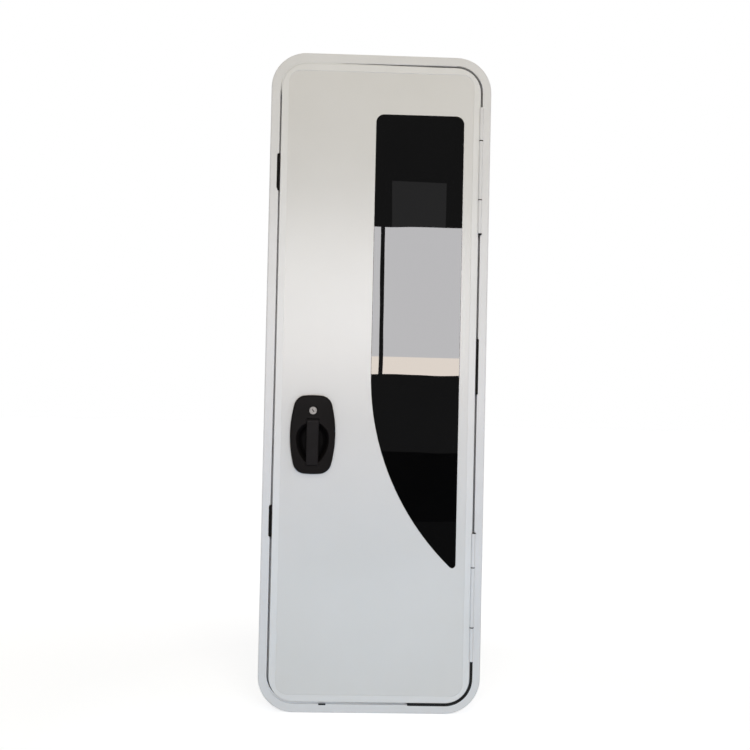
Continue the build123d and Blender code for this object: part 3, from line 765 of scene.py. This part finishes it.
def screw_head():
    """Pan head of radius 1 on its own axis, with a cross recess, to be scaled and set in place."""
    cells, grid_reach = 5, 0.72
    top_radius, top_height, dome = 0.86, 0.54, 0.18
    cross_reach, cross_middle = 0.4, 0.05
    recess, recess_taper = 0.30, 0.72
    shoulder, skirt = 0.20, 0.16
    shape = bmesh.new()
    bmesh.ops.create_grid(shape, x_segments=cells, y_segments=cells, size=grid_reach)
    for corner in shape.verts:
        if corner.is_boundary:
            corner.co = corner.co.normalized() * top_radius
    cross = []
    for face in shape.faces:
        middle = face.calc_center_median()
        if middle.length < cross_reach and min(abs(middle.x), abs(middle.y)) < cross_middle:
            cross.append(face)
    for corner in shape.verts:
        corner.co.z = top_height - dome * (corner.co.length / top_radius) ** 2
    floor = dig(shape, cross, recess)
    bmesh.ops.scale(shape, vec=(recess_taper, recess_taper, 1), verts=floor)
    spread_down(shape, 1 / top_radius, shoulder)
    spread_down(shape, 1, skirt)
    foot = draw_out(shape, rim_of(shape), (0, 0, 0))
    for corner in {corner for edge in foot for corner in edge.verts}:
        corner.co.z = 0
    close_ends(shape)
    bmesh.ops.recalc_face_normals(shape, faces=shape.faces)
    mesh = bpy.data.meshes.new("screw_head")
    shape.to_mesh(mesh)
    shape.free()
    return mesh


SCREW_HEAD = screw_head()


def screws(name, body, radius, places, height=1.0):
    """Like steel screws on one body, each at a place on a face and facing the way that the face does."""
    turn_step = math.radians(37)
    shape = bmesh.new()
    for count, (place, outward) in enumerate(places):
        before = len(shape.verts)
        shape.from_mesh(SCREW_HEAD)
        facing = Vector(outward).to_track_quat("Z", "Y").to_matrix().to_4x4()
        turn = Matrix.Rotation(turn_step * count, 4, "Z")
        size = Matrix.Diagonal((radius, radius, radius * height, 1))
        seat = Matrix.Translation(place) @ facing @ turn @ size
        bmesh.ops.transform(shape, matrix=seat, verts=shape.verts[before:])
    make_piece(name, shape, body, "steel")


def wall_screws():
    """Screws through the jamb behind the stop: four a side, two in the head and two in the sill."""
    radius = 0.0042
    line = LipLine(0)
    _, depth, middle = mounts["left_jamb_outer_screws"]["pos_m"]
    outer = mounts["left_jamb_outer_screws"]["dims"]["spacing_y_mm"] / 2 * MILLIMETRE
    inner = mounts["left_jamb_inner_screws"]["dims"]["spacing_y_mm"] / 2 * MILLIMETRE
    end = mounts["head_screws"]["dims"]["spacing_x_mm"] / 2 * MILLIMETRE
    places = []
    for offset in (-outer, -inner, inner, outer):
        places.append(((line.left, depth, middle + offset), (1, 0, 0)))
        places.append(((line.right, depth, middle + offset), (-1, 0, 0)))
    for across in (-end, end):
        places.append(((across, depth, line.low), (0, 0, 1)))
        places.append(((across, depth, line.high), (0, 0, -1)))
    screws("wall_screws", "frame", radius, places)


def hinge_screws():
    """Countersunk screws in both plates of both hinges, their heads nearly flush in the narrow gap."""
    radius, height = 0.0034, 0.25
    depth = 0.014
    offsets = (-0.145, -0.075, 0.0, 0.075, 0.145)
    frame_face = leaf_high.x + LEAF_GAP - HINGE_PLATE
    leaf_face = leaf_high.x + HINGE_PLATE
    for hinge in HINGES:
        low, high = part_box(f"{hinge}_frame_side")
        middle = (low.z + high.z) / 2
        for body, face, outward in (("frame", frame_face, (-1, 0, 0)), ("leaf", leaf_face, (1, 0, 0))):
            places = [((face, depth, middle + offset), outward) for offset in offsets]
            screws(f"{hinge}_{body}_screws", body, radius, places, height)


def latch_screws():
    """Two screws in the latch faceplate and two in the strike plate."""
    radius, height = 0.0036, 0.3
    end_margin = 0.011
    for node, body, side, outward in (
        ("latch_faceplate", "leaf", 0, (-1, 0, 0)),
        ("strike_plate", "frame", 1, (1, 0, 0)),
    ):
        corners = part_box(node)
        low, high = corners
        middle_y = (low.y + high.y) / 2
        heights = (low.z + end_margin, high.z - end_margin)
        places = [((corners[side].x, middle_y, z), outward) for z in heights]
        screws(f"{node}_screws", body, radius, places, height)


def inside_escutcheon_screws():
    """Two screws that hold the inside escutcheon."""
    radius, height = 0.0038, 0.7
    margin = 0.016
    low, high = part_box("inside_escutcheon")
    middle_x = (low.x + high.x) / 2
    places = [((middle_x, high.y, z), (0, 1, 0)) for z in (low.z + margin, high.z - margin)]
    screws("inside_escutcheon_screws", "leaf", radius, places, height)


def window_trim_screws():
    """Screws all round the window's inner trim: left side, arc, right side and top."""
    radius, height = 0.0030, 0.6
    inset = 0.009
    arc_radius, arc_start_z = 0.744, 0.9397
    left_shares, right_shares = (0.10, 0.32, 0.55, 0.78), (0.09, 0.25, 0.41, 0.57, 0.73, 0.89)
    top_shares = (0.2, 0.5, 0.8)
    arc_angles = (4, 14, 24, 34)
    low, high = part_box("window_inner_trim")
    reach = arc_radius - inset
    places = [(low.x + inset, mixed(arc_start_z, high.z, share)) for share in left_shares]
    for angle in arc_angles:
        turn = math.radians(angle)
        places.append((low.x + arc_radius - reach * math.cos(turn), arc_start_z - reach * math.sin(turn)))
    places += [(high.x - inset, mixed(low.z, high.z, share)) for share in right_shares]
    places += [(mixed(low.x, high.x, share), high.z - inset) for share in top_shares]
    screws("window_trim_screws", "leaf", radius, [((x, high.y, z), (0, 1, 0)) for x, z in places], height)


bulb_seal()
corner_strip()
white_lip()
leaf_lip()
lip_pad("upper_left_pad", side=1, inner=0.0, top_cut=0.003, bottom_cut=0.009)
lip_pad("lower_left_pad", side=1, inner=0.0, top_cut=0.003, bottom_cut=0.003)
lip_pad("right_pad", side=-1, inner=0.001, top_cut=0.002, bottom_cut=0.004)
hinge_collars()
painted_hinge_shadows()
cylinder_ring()
slotted_plug()
keyway()
wall_screws()
hinge_screws()
latch_screws()
inside_escutcheon_screws()
window_trim_screws()


# Studio

KEY_COLOUR = (0.99, 0.98, 1.0)
FLOOR_CLEARANCE = 0.0005

floor_level = cad_box[0].z - FLOOR_CLEARANCE


def seen_directly(tree):
    """1 for what the camera sees, straight or in metal and glass, and 0 for light that falls on the door."""
    seen = tree.nodes.new("ShaderNodeLightPath")
    either = tree.nodes.new("ShaderNodeMath")
    tree.links.new(seen.outputs["Is Camera Ray"], either.inputs[0])
    tree.links.new(seen.outputs["Is Glossy Ray"], either.inputs[1])
    shown = tree.nodes.new("ShaderNodeMath")
    shown.use_clamp = True
    tree.links.new(either.outputs[0], shown.inputs[0])
    tree.links.new(seen.outputs["Is Transmission Ray"], shown.inputs[1])
    return shown.outputs[0]


def studio_world():
    """Even light from all round, and a white background where the camera sees it."""
    fill, white = 0.329, 1.0
    world = bpy.data.worlds.new("studio_world")
    bpy.context.scene.world = world
    world.use_nodes = True
    tree = world.node_tree
    background = tree.nodes["Background"]
    background.inputs["Color"].default_value = (1, 1, 1, 1)
    level = add_node(tree, "ShaderNodeMapRange", Value=seen_directly(tree), To_Min=fill, To_Max=white)
    tree.links.new(level.outputs["Result"], background.inputs["Strength"])


def studio_floor():
    """Pale floor with a painted glow to the camera: stronger far from the door, where the lamps light it
    less, and weaker at its foot, so that the shadow there shows.
    """
    floor_size, cells = 60.0, 4
    foot_distance, foot_glow = 0.9, 0.53
    far_distance, far_glow = 2.8, 0.69
    pale = Finish(
        "pale_floor",
        Base_Color=(0.9, 0.9, 0.9, 1),
        Roughness=0.8,
        Specular_IOR_Level=0.1,
        Emission_Color=(1, 1, 1, 1),
    )
    distance = pale.add("ShaderNodeVectorMath", Vector=pale.place)
    distance.operation = "LENGTH"
    # Painted light: the glow rises with distance from the door, making up for the lamps' light falling off
    # far away.
    glow = pale.add(
        "ShaderNodeMapRange",
        Value=distance.outputs["Value"],
        From_Min=foot_distance,
        From_Max=far_distance,
        To_Min=foot_glow,
        To_Max=far_glow,
    )
    strength = pale.add("ShaderNodeMath", Value=seen_directly(pale.tree))
    strength.operation = "MULTIPLY"
    pale.tree.links.new(glow.outputs["Result"], strength.inputs[1])
    pale.link(strength.outputs[0], "Emission Strength")
    shape = bmesh.new()
    bmesh.ops.create_grid(shape, x_segments=cells, y_segments=cells, size=floor_size / 2)
    bmesh.ops.translate(shape, vec=(0, 0, floor_level), verts=shape.verts)
    add_object("studio_floor", shape, pale.material)


def area_lamp(name, width, height, radiance, colour, place, aim, mirrored):
    """Soft rectangular lamp at a place, turned to face a point, and mirrored by glossy pieces or not."""
    lamp = bpy.data.lights.new(name, "AREA")
    lamp.shape = "RECTANGLE"
    lamp.size = width
    lamp.size_y = height
    lamp.energy = radiance * math.pi * width * height
    lamp.color = colour
    light = bpy.data.objects.new(name, lamp)
    light.location = place
    light.rotation_euler = (Vector(aim) - Vector(place)).to_track_quat("-Z", "Y").to_euler()
    light.visible_camera = False
    light.visible_glossy = mirrored
    bpy.context.scene.collection.objects.link(light)


def softboxes():
    """Upright lamps in front of the door: two side by side with warmer feet, a wing and a dim one above."""
    front_y = -3.5
    left, right = (-0.9, 0.138), (0.164, 0.72)
    wing, dim = (0.72, 1.2), (0.206, 0.535)
    foot, sill, top, dim_top = 1.010, 1.118, 1.911, 2.187
    key_radiance, foot_radiance, dim_radiance = 6.4, 9.4, 0.16
    foot_colour = (1.0, 0.90, 0.81)
    for name, (start, end), low, high, radiance, colour, mirrored in (
        ("softbox_left", left, sill, top, key_radiance, KEY_COLOUR, True),
        ("softbox_left_foot", left, foot, sill, foot_radiance, foot_colour, True),
        ("softbox_right", right, sill, top, key_radiance, KEY_COLOUR, True),
        ("softbox_right_foot", right, foot, sill, foot_radiance, foot_colour, True),
        ("softbox_wing", wing, foot, top, key_radiance, KEY_COLOUR, False),
        ("softbox_dim", dim, top, dim_top, dim_radiance, KEY_COLOUR, True),
    ):
        x, z = (start + end) / 2, (low + high) / 2
        area_lamp(name, end - start, high - low, radiance, colour, (x, front_y, z), (x, 0, z), mirrored)


def fill_lamps():
    """Lamps that nothing mirrors: three tinted ones to grade the white, one at the side, one behind."""
    for name, (width, height), radiance, colour, place, aim in (
        ("warm_top_lamp", (2.0, 1.0), 1.4, (1.0, 0.84, 0.30), (0, -2.0, 3.3), (0, 0, 1.7)),
        ("cool_foot_lamp", (1.2, 0.3), 1.08, (0.07, 0.55, 1.0), (0, -0.8, 0.48), (0, 0, 0.48)),
        ("rose_lamp", (1.2, 0.3), 0.30, (1.0, 0.58, 0.52), (0, -0.5, 0.72), (0, 0, 0.72)),
        ("side_lamp", (0.3, 1.15), 0.44, KEY_COLOUR, (0.75, -0.55, 1.3), (0.3, 0, 1.3)),
        ("back_lamp", (1.6, 1.6), 1.3, KEY_COLOUR, (0.6, 2.4, 1.7), (0, 0, 0.9)),
    ):
        area_lamp(name, width, height, radiance, colour, place, aim, mirrored=False)


def dark_cloths():
    """Dark cloths that only reflections see, so that the polished pane stays dark beside the softboxes."""
    reach, mat_rise = 6.0, 0.002
    curtain_y, mat_front_y = -4.6, -2.2
    skirting_top, curtain_top = 0.48, 6.0
    curtain_grey, mat_grey = 0.022, 0.003
    mat_level = floor_level + mat_rise
    foot, mat_front = (curtain_y, mat_level), (mat_front_y, mat_level)
    skirting, top = (curtain_y, skirting_top), (curtain_y, curtain_top)
    # Painted light: the curtain and the mat glow faintly, a dim light that only the pane's reflections show.
    for name, grey, glow, start, end in (
        ("dim_curtain", curtain_grey, 0.07, skirting, top),
        ("dark_skirting", curtain_grey, 0.0, foot, skirting),
        ("dark_mat", mat_grey, 0.03, foot, mat_front),
    ):
        weave = Finish(
            name,
            Base_Color=(grey, grey, grey, 1),
            Roughness=1.0,
            Specular_IOR_Level=0.0,
            Emission_Color=(1, 1, 1, 1),
            Emission_Strength=glow,
        )
        corners = [(-reach, *start), (reach, *start), (reach, *end), (-reach, *end)]
        shape = bmesh.new()
        shape.faces.new([shape.verts.new(corner) for corner in corners])
        cloth = add_object(name, shape, weave.material)
        cloth.visible_camera = False
        cloth.visible_diffuse = False
        cloth.visible_shadow = False


def photo_camera():
    """Camera at the photograph's place: a little left of the middle, at lock height, slightly turned."""
    turn = (91.139, -1.24, -2.022)
    lens = bpy.data.cameras.new("photo_camera")
    lens.sensor_width = 36.0
    lens.lens = 51.4
    camera = bpy.data.objects.new("photo_camera", lens)
    camera.location = (-0.107, -3.012, 0.875)
    camera.rotation_euler = [math.radians(angle) for angle in turn]
    bpy.context.scene.collection.objects.link(camera)
    bpy.context.scene.camera = camera


bpy.context.scene.view_settings.view_transform = "Standard"
studio_world()
studio_floor()
softboxes()
fill_lamps()
dark_cloths()
photo_camera()
